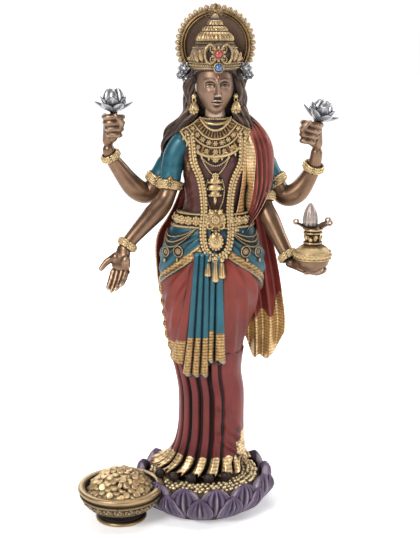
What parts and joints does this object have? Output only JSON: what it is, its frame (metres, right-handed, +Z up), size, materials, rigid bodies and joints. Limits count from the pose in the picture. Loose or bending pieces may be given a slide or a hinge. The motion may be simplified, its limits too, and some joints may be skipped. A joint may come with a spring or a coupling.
{
  "type": "four-armed goddess figure",
  "caption": "Standing four-armed goddess with rayed halo, lotuses and water pot, on a lotus plinth with a dish of coins beside it.",
  "frame": {"origin": "centre of the plinth's flat underside", "axes": "+Z up through the figure, -Y the way she faces, +X towards her left hand"},
  "size_m": [0.1286, 0.0779, 0.2573],
  "materials": {
    "painted_bronze_resin": "bronze-powder resin, polished high spots over a dark wash, hand painted red, blue and gold cloth",
    "purple_resin": "matt purple paint, dry-brushed pale on the petal ribs",
    "gold_resin": "gold paint with a brown wash in the recesses"
  },
  "bodies": {
    "root": {"goddess_figure": "painted_bronze_resin", "lotus_plinth": "purple_resin", "dish_of_coins": "gold_resin"}
  },
  "joints": []
}
